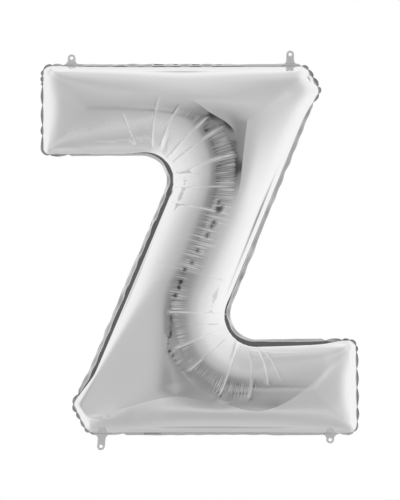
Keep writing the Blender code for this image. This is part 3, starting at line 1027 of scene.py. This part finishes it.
def finished_net(flat, x, faces, rim, bounds, fine):
    """The net that is shown: even triangles, with rows across the pleats and points along each fold.
    Returns flat points, blown points, faces, the rim's row, ray number and share v in the fans, and the
    pairs of points between which the film is creased."""
    world = x[:, [0, 2]]
    row_step, parts, lattice_step = (4.5 * MM, 4, 4.2 * MM) if fine else (9 * MM, 2, 7 * MM)
    grid, number, v = pleat_grid(bounds, row_step, parts)
    lines = np.concatenate([line_points(corners, 2.6 * MM) for _reach, *corners in RIDGES])
    lines = lines[~in_fans(lines, 3 * MM)]
    rows = len(grid) // (parts * (len(bounds) - 1) + 1)
    rim_count = len(rim)
    ring = evenly(bowed_line(FLAT_CUT, LINE_STEP), rim_count)
    even = lattice(ring, lattice_step)
    even = even[~in_fans(carry(flat, faces, world, even), 2.5 * MM)]
    grid_flat = carry(world, faces, flat, grid)
    line_flat = carry(world, faces, flat, lines)
    keep = nearest_on(even, ring)[0] > 2 * MM
    block = 2000
    for k in range(0, len(even), block):
        square = ((even[k : k + block, None] - line_flat[None]) ** 2).sum(2).min(1)
        keep[k : k + block] &= square > (0.6 * lattice_step) ** 2
    line_flat = line_flat[nearest_on(line_flat, ring)[0] > 2 * MM]
    points = np.concatenate([ring, grid_flat, line_flat, even[keep]])
    valley = rim_count + np.arange(len(bounds))[:, None] * parts * rows + np.arange(rows - 1)
    valley = np.stack([valley, valley + 1], 2).reshape(-1, 2)
    ridge = rim_count + len(grid) + np.arange(len(line_flat) - 1)
    ridge = np.stack([ridge, ridge + 1], 1)
    ridge = ridge[np.linalg.norm(points[ridge[:, 0]] - points[ridge[:, 1]], axis=1) < 6 * MM]
    creases = np.concatenate([valley, ridge])
    made = triangulated(points, ring_sides(rim_count))
    first = np.array([source[0] if source else 0 for source in made[3]])
    merged = np.arange(len(points))
    merged[[k for source in made[3] for k in source]] = [source[0] for source in made[3] for _k in source]
    new_faces = first[np.array(made[2])]
    new_faces = turned_up(points, new_faces[inside(points[new_faces].mean(1), ring)], 1e-11)
    used = np.unique(new_faces)
    place = np.cumsum(np.bincount(used, minlength=len(points))) - 1
    new_x = carry(flat, faces, x, points)
    new_x[:rim_count] = x[rim]
    fan = np.full((len(points), 2), -1.0)
    fan[rim_count : rim_count + len(grid)] = np.stack([number, v], 1)
    new_rim = np.arange(rim_count)
    return points[used], new_x[used], place[new_faces], new_rim, fan[used], place[merged[creases]]


def creased(x, faces, rim, fan, bounds, seed):
    """The film moved along its normals by all its creases, and not at all along the rim, then toothed."""
    seen = x[:, [0, 2]]
    height = ray_heights(seen, seed) + ridge_heights(seen)
    pleated = fan[:, 1] > 0
    height[pleated] += pleat_heights(fan[pleated, 0], fan[pleated, 1], bounds, seed)
    gap = nearest_on(seen, seen[rim][::2])[0]
    height = height * step_up(gap, 0, 9 * MM) + pinch_heights(seen, rim)
    return toothed(x + point_normals(x, faces) * height[:, None])


# Meshes and materials


def new_mesh(name, points, faces, smooth=True):
    """A mesh object at the origin, with its place in its points."""
    mesh = bpy.data.meshes.new(name)
    mesh.from_pydata(np.asarray(points).tolist(), [], np.asarray(faces).tolist())
    mesh.update()
    mesh.polygons.foreach_set("use_smooth", [smooth] * len(mesh.polygons))
    piece = bpy.data.objects.new(name, mesh)
    bpy.context.scene.collection.objects.link(piece)
    return piece


def set_uv(piece, name, places):
    """One UV place per point, copied to the corners of the faces."""
    mesh = piece.data
    corner = np.empty(len(mesh.loops), np.int32)
    mesh.loops.foreach_get("vertex_index", corner)
    layer = mesh.uv_layers.new(name=name)
    layer.data.foreach_set("uv", np.asarray(places, np.float32)[corner].ravel())


def set_sharp(piece, pairs):
    """Creases the shading along these pairs of points."""
    mesh = piece.data
    ends = np.empty(2 * len(mesh.edges), np.int32)
    mesh.edges.foreach_get("vertices", ends)
    count = len(mesh.vertices)
    own, wanted = (
        rows[:, 0] * count + rows[:, 1]
        for rows in (np.sort(p, 1).astype(np.int64) for p in (ends.reshape(-1, 2), pairs))
    )
    layer = mesh.attributes.new("sharp_edge", "BOOLEAN", "EDGE")
    layer.data.foreach_set("value", np.isin(own, wanted))


def thicken(piece, thick):
    """Gives a piece of film its thickness, half of it to each side."""
    wall = piece.modifiers.new("film", "SOLIDIFY")
    wall.thickness = thick
    wall.offset = 0


def grid_faces(points, closed):
    """A grid of points as a flat list, and its faces, closed across the second way where that is so."""
    rows, columns = points.shape[:2]
    i = np.arange(rows - 1)[:, None]
    j = np.arange(columns if closed else columns - 1)[None]
    j1 = (j + 1) % columns
    faces = np.stack([i * columns + j, (i + 1) * columns + j, (i + 1) * columns + j1, i * columns + j1], 2)
    return points.reshape(-1, 3), faces.reshape(-1, 4)


def add_node(tree, kind, settings=None, **inputs):
    """A node with its settings and its inputs, where an input is a number or another node's socket."""
    node = tree.nodes.new(kind)
    for name, value in (settings or {}).items():
        setattr(node, name, value)
    for name, value in inputs.items():
        socket = node.inputs[int(name[1:])] if name[0] == "_" else node.inputs[name.replace("_", " ")]
        if isinstance(value, bpy.types.NodeSocket):
            tree.links.new(value, socket)
        else:
            socket.default_value = value
    return node


def ranged(tree, value, low, high, from_value, to_value, smooth=False):
    """A value between low and high drawn onto another range, straight, or smooth as 3 t^2 - 2 t^3."""
    kind = {"interpolation_type": "SMOOTHSTEP" if smooth else "LINEAR"}
    return add_node(
        tree, "ShaderNodeMapRange", kind, Value=value, From_Min=low, From_Max=high, To_Min=from_value,
        To_Max=to_value).outputs["Result"]


def shader_tree(name):
    """A new material, its node tree, its shader's inputs, and the place on the object as a socket."""
    material = bpy.data.materials.new(name)
    material.use_nodes = True
    tree = material.node_tree
    place = add_node(tree, "ShaderNodeTexCoord").outputs["Object"]
    return material, tree, tree.nodes["Principled BSDF"].inputs, place


def foil_material(name, tint, polish, grain, metal=1.0):
    """Bright metallised film: a mirror with faint clouds in its polish and fine crumple in its surface."""
    material, tree, shader, place = shader_tree(name)
    shader["Metallic"].default_value = metal
    cloud = add_node(tree, "ShaderNodeTexNoise", Vector=place, Scale=7.0, Detail=3.0, Roughness=0.6)
    cloud = cloud.outputs["Fac"]
    tree.links.new(ranged(tree, cloud, 0.3, 0.7, polish * 0.75, polish * 1.3), shader["Roughness"])
    shade = add_node(
        tree, "ShaderNodeMix", {"data_type": "RGBA"}, _0=cloud,
        _6=(*[c * 0.97 for c in tint], 1), _7=(*[min(1, c * 1.02) for c in tint], 1))
    tree.links.new(shade.outputs[2], shader["Base Color"])
    crumple = add_node(
        tree, "ShaderNodeTexNoise", Vector=place, Scale=45.0, Detail=4.0, Roughness=0.55, Distortion=0.4)
    bump = add_node(tree, "ShaderNodeBump", Strength=0.5, Distance=grain, Height=crumple.outputs["Fac"])
    tree.links.new(bump.outputs["Normal"], shader["Normal"])
    return material


def clear_material():
    """Clear, slightly milky plastic film, clouded in patches where it is stretched."""
    material, tree, shader, place = shader_tree("clear_valve_film")
    shader["Base Color"].default_value = (0.93, 0.95, 0.96, 1)
    shader["IOR"].default_value = 1.5
    cloud = add_node(tree, "ShaderNodeTexNoise", Vector=place, Scale=120.0, Detail=3.0).outputs["Fac"]
    tree.links.new(ranged(tree, cloud, 0.3, 0.7, 0.12, 0.3), shader["Roughness"])
    tree.links.new(ranged(tree, cloud, 0.3, 0.7, 0.28, 0.42), shader["Alpha"])
    bump = add_node(tree, "ShaderNodeBump", Strength=0.4, Distance=0.05 * MM, Height=cloud)
    tree.links.new(bump.outputs["Normal"], shader["Normal"])
    return material


class FilmBuilder(bpy.types.Operator):
    """Blow up the front and back films"""

    bl_idname = "foil_letter.films"
    bl_label = "Front and Back Films"

    def execute(self, context):
        settings = context.scene.foil_film
        flat, x, faces, rim = blown_film(settings)
        outline = film_edge()
        x = drawn_to(x, rim, outline)
        seal_edge = bowed_line(EDGE, LINE_STEP)
        x = levelled(eased(evened(x, faces, rim), faces, rim, seal_edge))
        for _ in range(1):
            flat, x, faces, rim = finer(flat, x, faces, rim)
        bounds = pleat_bounds(PLEAT_SEED)
        flat, x, faces, rim, fan, creases = finished_net(flat, x, faces, rim, bounds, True)
        x = footed(x, rim, seal_edge)
        if face_normals(x, faces)[:, 1].sum() > 0:
            faces = faces[:, ::-1]
        foil = foil_material("silver_foil", settings.tint, settings.polish, grain=0.02 * MM)
        span = flat.max(0) - flat.min(0)
        for name, node, side in (("front_film", "front_sheet", 1), ("back_film", "back_sheet", -1)):
            points = creased(x, faces, rim, fan, bounds, FILM_SEED + side) * (1, side, 1)
            piece = new_mesh(name, points, faces if side > 0 else faces[:, ::-1])
            set_sharp(piece, creases)
            set_uv(piece, "flat_cut", (flat - flat.min(0)) / span.max())
            piece.data.materials.append(foil)
            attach(piece, "envelope")
            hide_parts(node)
        context.scene["film_rim"] = x[rim].ravel().tolist()
        return {"FINISHED"}


def scallops(row):
    """Share of the band's width left at each point of a closed row: nought at a pinch, 1 between rows of
    pinches, and between two pinches of a row sin(pi t)^0.6."""
    reach = along(row)
    total = reach[-1]
    share = np.ones(len(row))
    for pinches in PINCHES:
        stops = np.unwrap(nearest_on(np.array(pinches) * MM, row)[1], period=total)
        place = (reach[:-1] - stops[0]) % total
        stops = stops - stops[0]
        k = np.clip(np.searchsorted(stops, place) - 1, 0, len(stops) - 2)
        t = np.clip((place - stops[k]) / (stops[k + 1] - stops[k]), 0, 1)
        within = place <= stops[-1]
        share[within] = np.sin(math.pi * t[within]) ** 0.6
        for gap in (np.minimum(place, total - place), np.abs(place - stops[-1])):
            share = np.where(within, share, np.minimum(share, step_up(gap, 0, 12 * MM)))
    return share


def wavering(chance, low, reach):
    """Sum of sine waves along a closed row, every fourth from the low number to 90 in its whole length,
    each with its own random height and start, over five."""
    total = 0
    for k in range(low, 90, 4):
        total = total + chance.normal(0, 1) * np.sin(2 * math.pi * (k * reach + chance.uniform()))
    return total / 5


class SealBuilder(bpy.types.Operator):
    """Weld the seal round the films"""

    bl_idname = "foil_letter.seal"
    bl_label = "Welded Seal"

    def execute(self, context):
        settings = context.scene.foil_seal
        rim = np.array(context.scene["film_rim"]).reshape(-1, 3)[:, [0, 2]]
        edge = bowed_line(EDGE, LINE_STEP)
        count = int(along(rim)[-1] / (1.7 * MM))
        path = evenly(rim, count)
        out = -inward(path)
        place = nearest_on(path, edge)[1]
        shown = seal_values(edge, place, SHOWN)
        lean = np.radians(seal_values(edge, place, LEAN))
        chance = np.random.default_rng(SEAL_SEED)
        reach = along(path)[:-1] / along(path)[-1]
        waver = [wavering(chance, low, reach) for low in (5, 7)]
        shown = (shown * (1 + 0.12 * waver[0]) * scallops(path) + 0.3 * MM)[:, None]
        lean = np.clip(lean * (1 + 0.3 * waver[1]) + 0.02 * waver[1], 0.0, 1.2)[:, None]
        # The band leans back and curls: its point at share t of the width w stands out by w t, and back
        # by w t^1.3 tan(lean).
        t = np.array([-0.35, -0.17, 0.07, 0.25, 0.5, 0.75, 0.93, 1.0])
        stand = shown * t
        back = shown * np.sign(t) * np.abs(t) ** 1.3 * np.tan(lean)
        thick = settings.thick / 2 * np.array([0.5, 1, 1, 1, 0.9, 0.95, 1, 0.3])
        across = np.stack([-np.sin(lean) * np.ones_like(t), np.cos(lean) * np.ones_like(t)], 2)
        middle = np.stack([stand, back], 2)
        wall = across * thick[:, None]
        ring = np.concatenate([middle - wall, (middle + wall)[:, ::-1]], 1)
        x, z = (path[:, k, None] + out[:, k, None] * ring[:, :, 0] for k in range(2))
        points = np.stack([x, ring[:, :, 1], z], 2)
        flat, faces = grid_faces(np.concatenate([points, points[:1]]), True)
        own = count * points.shape[1]
        piece = new_mesh("seal_film", flat[:own], faces % own)
        dull = [0.8 * c for c in context.scene.foil_film.tint]
        piece.data.materials.append(foil_material("welded_foil", dull, polish=0.12, grain=0.05 * MM))
        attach(piece, "envelope")
        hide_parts("seal_band")
        return {"FINISHED"}


def plate_net(outline, hole, step):
    """Triangles between an outline and a hole in it."""
    low, high = outline.min(0), outline.max(0)
    grid = np.meshgrid(*(np.arange(low[k], high[k], step) for k in range(2)))
    grid = np.stack(grid, 2).reshape(-1, 2)
    grid = grid[inside(grid, outline) & ~inside(grid, hole)]
    grid = grid[(nearest_on(grid, outline)[0] > 0.5 * step) & (nearest_on(grid, hole)[0] > 0.5 * step)]
    points = np.concatenate([outline, hole, grid])
    sides = ring_sides(len(outline)) + ring_sides(len(hole), len(outline))
    faces = np.array(triangulated(points, sides)[2])
    middle = points[faces].mean(1)
    return points, turned_up(points, faces[inside(middle, outline) & ~inside(middle, hole)])


class TabBuilder(bpy.types.Operator):
    """Cut the punched hanging tabs"""

    bl_idname = "foil_letter.tabs"
    bl_label = "Hanging Tabs"

    def execute(self, context):
        settings = context.scene.foil_tab
        tint = context.scene.foil_film.tint
        foil = foil_material("tab_foil", tint, polish=0.45, grain=0.06 * MM, metal=0.7)
        half = settings.width / 2
        ring = np.radians(np.arange(0, 360, 15))
        for node, body, x0, side, length, lean, curl_back in TABS:
            head = np.radians(np.arange(0, 181, 10))
            head = np.stack([half * np.cos(head), length - half + half * np.sin(head)], 1)
            # The root flares: at share t of its height it is 12 mm (1 - t)^2.4 wider on each side.
            t = np.linspace(0, 1, 8)[:, None]
            risen = -4 * MM + t * min(13 * MM, length - half + 2 * MM)
            flare = np.concatenate([half + 12 * MM * (1 - t) ** 2.4, risen], 1)
            flare[:, 1] = np.minimum(flare[:, 1], head[0, 1] - 0.2 * MM)
            outline = np.concatenate([flare, head, flare[::-1] * (-1, 1)])
            hole_up = length - settings.hole_in
            hole = np.stack([np.cos(-ring), np.sin(-ring)], 1) * settings.hole / 2 + (0, hole_up)
            points, faces = plate_net(outline, hole, 2.2 * MM)
            x, z = points.T
            up = np.clip(z, 0, None) / length
            curl = 0.5 * MM * np.sin(2.5 * up) * up + curl_back * length * up**1.3
            x = x + np.clip(z, 0, None) * math.tan(lean)
            world = np.stack([x0 + side * x, curl, side * (HALF_HEIGHT + 0.7 * MM + z)], 1)
            piece = new_mesh(node.replace("hang_tab", "tab_film"), world, faces)
            piece.data.materials.append(foil)
            thicken(piece, 0.4 * MM)
            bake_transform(piece)
            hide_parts(node)
        return {"FINISHED"}


class TailBuilder(bpy.types.Operator):
    """Fold up the filling tail with its clear valve"""

    bl_idname = "foil_letter.tail"
    bl_label = "Filling Tail"

    def execute(self, context):
        settings = context.scene.foil_tail
        start = np.array([0.0, TAIL_FOLD_Z + 5.4 * MM])
        bend = 0.5 * MM
        lead, turns, straight = 3, 9, 18  # steps down from the seal, round the fold, and up behind
        folded = lead + turns - 1
        angle = np.concatenate([
            np.zeros(lead), np.linspace(0, TAIL_FOLD, turns), np.full(straight, TAIL_FOLD)])
        step = np.concatenate([
            np.full(lead, 1.1 * MM), np.full(turns, bend * TAIL_FOLD / (turns - 1)),
            np.full(straight, settings.length / straight)])
        # The film leaves the seal downwards and turns up behind it: a point moves on by the step, along
        # (sin a, -cos a) in y and z.
        path = start + np.cumsum(np.stack([np.sin(angle), -np.cos(angle)], 1) * step[:, None], axis=0)
        normal = np.stack([np.cos(angle), np.sin(angle)], 1)
        reach = np.cumsum(step) - step[:folded].sum()
        length = reach[-1]
        root = np.clip(1 - reach / (12 * MM), 0, 1)
        half = settings.width / 2 + 4 * MM * root**2
        half = half - 1.5 * MM * step_up(reach, length - 6 * MM, length) ** 2
        u = np.linspace(-1, 1, 25)
        share = np.clip(reach / length, 0, 1)[:, None]
        # Its two layers stand off the path by a lens that is shut at the welded sides, and both sway.
        puff = (0.25 * MM + 1.3 * MM * share**1.5) * step_up(reach, -1 * MM, 14 * MM)[:, None]
        ripple = 0.35 * MM * np.sin(9 * u + 5 * share) * share
        sway = ripple + 0.5 * MM * np.sin(3.1 * share + 0.6) * share * u
        weld = np.clip((1 - np.abs(u)) / 0.13, 0, 1)
        lens = weld**0.6 * (1 - 0.35 * u**2)
        x = TAIL_X + half[:, None] * u
        layers = []
        for side in (-1, 1):
            off = side * (0.13 * MM + puff * lens) + sway
            y, z = (path[:, k, None] + normal[:, k, None] * off for k in range(2))
            layers.append(np.stack([x, y, z], 2))
        lower, faces = grid_faces(layers[0], False)
        upper = layers[1].reshape(-1, 3)
        faces = np.concatenate([faces[:, ::-1], faces + len(lower)])
        piece = new_mesh("tail_film", np.concatenate([lower, upper]), faces)
        tint = context.scene.foil_film.tint
        piece.data.materials.append(foil_material("tail_foil", tint, polish=0.2, grain=0.05 * MM))
        thicken(piece, 0.12 * MM)
        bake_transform(piece)
        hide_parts("filling_tail")

        valve_half = settings.valve_width / 2
        runs = np.linspace(15.3 * MM, length + 7 * MM, 30)
        way = np.array([math.sin(TAIL_FOLD), -math.cos(TAIL_FOLD)])
        up = np.array([math.cos(TAIL_FOLD), math.sin(TAIL_FOLD)])
        base = path[folded] + way * (runs - reach[folded])[:, None]
        corner = 3 * MM
        into = np.clip((runs - runs[-1] + corner) / corner, 0, 1)
        wide = valve_half - corner * (1 - np.sqrt(np.clip(1 - into**2, 0, 1)))
        u = np.linspace(-1, 1, 15)
        share = (runs / length)[:, None]
        wave = 0.35 * MM * np.sin(4 * u + 6 * share) + 0.5 * MM * np.sin(3.1 * share + 0.6) * u * 0.6
        x = TAIL_X + wide[:, None] * u
        rings = []
        for side in (-1, 1):
            off = side * (0.05 * MM + 0.45 * MM * (1 - u**4)) + wave
            y, z = (base[:, k, None] + up[k] * off for k in range(2))
            rings.append(np.stack([x, y, z], 2))
        tube = np.concatenate([rings[0], rings[1][:, ::-1]], 1)
        sleeve = new_mesh("valve_sleeve", *grid_faces(tube, True))
        sleeve.data.materials.append(clear_material())
        thicken(sleeve, 0.08 * MM)
        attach(sleeve, "tail")
        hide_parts("valve_film")
        return {"FINISHED"}


def floor_material():
    """Matt and pale, darker in the middle by a painted soft shadow of the balloon, fading out at its rim."""
    material, tree, shader, place = shader_tree("pale_floor")
    shader["Roughness"].default_value = 0.9
    flat = add_node(tree, "ShaderNodeVectorMath", {"operation": "MULTIPLY"}, _0=place, _1=(1, 1, 0))
    far = add_node(tree, "ShaderNodeVectorMath", {"operation": "LENGTH"}, _0=flat.outputs[0])
    far = far.outputs["Value"]
    # Painted shadow: the base colour is 0.75 in the middle and rises to 0.95 from 1.3 m out.
    tree.links.new(ranged(tree, far, 0.1, 1.3, 0.75, 0.95, smooth=True), shader["Base Color"])
    tree.links.new(ranged(tree, far, 0.9, 2.3, 1.0, 0.0, smooth=True), shader["Alpha"])
    return material


class StageBuilder(bpy.types.Operator):
    """Set the pale floor, the studio light and the camera"""

    bl_idname = "foil_letter.stage"
    bl_label = "Stage"

    def execute(self, context):
        settings = context.scene.foil_stage
        scene = context.scene
        away = np.array([0.0, 0.5, 1.0, 1.5, 2.0, 2.4])
        turn = np.radians(np.arange(0, 360, 7.5))
        x = away[:, None] * np.cos(turn)
        y = away[:, None] * np.sin(turn)
        points = np.stack([x, y, np.full_like(x, -settings.floor_drop)], 2)
        floor = new_mesh("floor", *grid_faces(points, True))
        floor.data.materials.append(floor_material())
        scene.world = studio_world()
        camera = bpy.data.objects.new("camera", bpy.data.cameras.new("camera"))
        scene.collection.objects.link(camera)
        camera.location = (0, -settings.camera_away, CAMERA_Z)
        camera.rotation_euler = (math.pi / 2, 0, 0)
        camera.data.lens = camera.data.sensor_width * settings.camera_away / settings.frame_height
        camera.data.clip_end = 100
        scene.camera = camera
        scene.view_settings.view_transform = "Standard"
        return {"FINISHED"}


# Brightness of the studio by the angle from straight behind the camera, in degrees.
STUDIO_TONES = (
    (0, 0.25),
    (8, 0.29),
    (18, 0.42),
    (30, 0.51),
    (45, 0.56),
    (60, 0.62),
    (80, 0.76),
    (100, 0.92),
    (120, 1.00),
    (131, 1.00),
    (138, 0.12),
    (172, 0.12),
    (177, 1.00),
)


def studio_world():
    """Soft white room seen by its direction: its tones by the angle from straight behind the camera, a
    little brighter to the right, dimmer overhead, and darker still where the camera stands. What the
    camera sees past the balloon is the white backdrop."""
    world = bpy.data.worlds.new("studio")
    world.use_nodes = True
    tree = world.node_tree
    tree.nodes.clear()
    way = add_node(tree, "ShaderNodeTexCoord").outputs["Generated"]
    axes = add_node(tree, "ShaderNodeSeparateXYZ", _0=way).outputs

    def maths(kind, a, b):
        return add_node(tree, "ShaderNodeMath", {"operation": kind}, _0=a, _1=b).outputs[0]

    tones = add_node(tree, "ShaderNodeValToRGB", Fac=ranged(tree, axes["Y"], -1.0, 1.0, 0.0, 1.0))
    stops = tones.color_ramp.elements
    for k, (angle, tone) in enumerate(STUDIO_TONES):
        place = (1 - math.cos(math.radians(angle))) / 2
        stop = stops[0] if k == 0 else stops[1] if k == 1 else stops.new(place)
        stop.position = place
        stop.color = (tone, tone, tone, 1)
    light = tones.outputs["Color"]
    light = maths("MULTIPLY", light, ranged(tree, axes["X"], -1.0, 1.0, 0.97, 1.02))
    light = maths("MULTIPLY", light, ranged(tree, axes["Z"], 0.8, 0.97, 1.0, 0.8, smooth=True))
    light = maths("MULTIPLY", light, ranged(tree, axes["Y"], -0.9997, -0.9982, 0.1, 1.0, smooth=True))
    seen = add_node(tree, "ShaderNodeLightPath").outputs["Is Camera Ray"]
    light = maths("MAXIMUM", light, seen)
    glow = add_node(tree, "ShaderNodeBackground", Color=(1, 1, 1, 1), Strength=light)
    add_node(tree, "ShaderNodeOutputWorld", Surface=glow.outputs[0])
    return world


class BalloonPanel(bpy.types.Panel):
    """Lists the pieces of the balloon and their sizes"""

    bl_idname = "VIEW3D_PT_foil_letter"
    bl_label = "Foil Letter Balloon"
    bl_space_type = "VIEW_3D"
    bl_region_type = "UI"
    bl_category = "Balloon"

    def draw(self, context):
        for operator, group, names in BUILD_ORDER:
            box = self.layout.box()
            box.operator(operator.bl_idname)
            for name in names:
                box.prop(getattr(context.scene, group), name)


BUILD_ORDER = (
    (FilmBuilder, "foil_film", ("net_step", "gas_push", "tint", "polish")),
    (SealBuilder, "foil_seal", ("thick",)),
    (TabBuilder, "foil_tab", ("width", "hole", "hole_in")),
    (TailBuilder, "foil_tail", ("width", "length", "valve_width")),
    (StageBuilder, "foil_stage", ("floor_drop", "camera_away", "frame_height")),
)
GROUPS = (
    ("foil_film", FilmSettings),
    ("foil_seal", SealSettings),
    ("foil_tab", TabSettings),
    ("foil_tail", TailSettings),
    ("foil_stage", StageSettings),
)


def register():
    for name, group in GROUPS:
        bpy.utils.register_class(group)
        setattr(bpy.types.Scene, name, PointerProperty(type=group))
    for operator, _group, _names in BUILD_ORDER:
        bpy.utils.register_class(operator)
    bpy.utils.register_class(BalloonPanel)


def unregister():
    bpy.utils.unregister_class(BalloonPanel)
    for operator, _group, _names in reversed(BUILD_ORDER):
        bpy.utils.unregister_class(operator)
    for name, group in reversed(GROUPS):
        delattr(bpy.types.Scene, name)
        bpy.utils.unregister_class(group)


def main():
    register()
    for operator, _group, _names in BUILD_ORDER:
        area, name = operator.bl_idname.split(".")
        getattr(getattr(bpy.ops, area), name)()


if __name__ == "__main__":
    main()
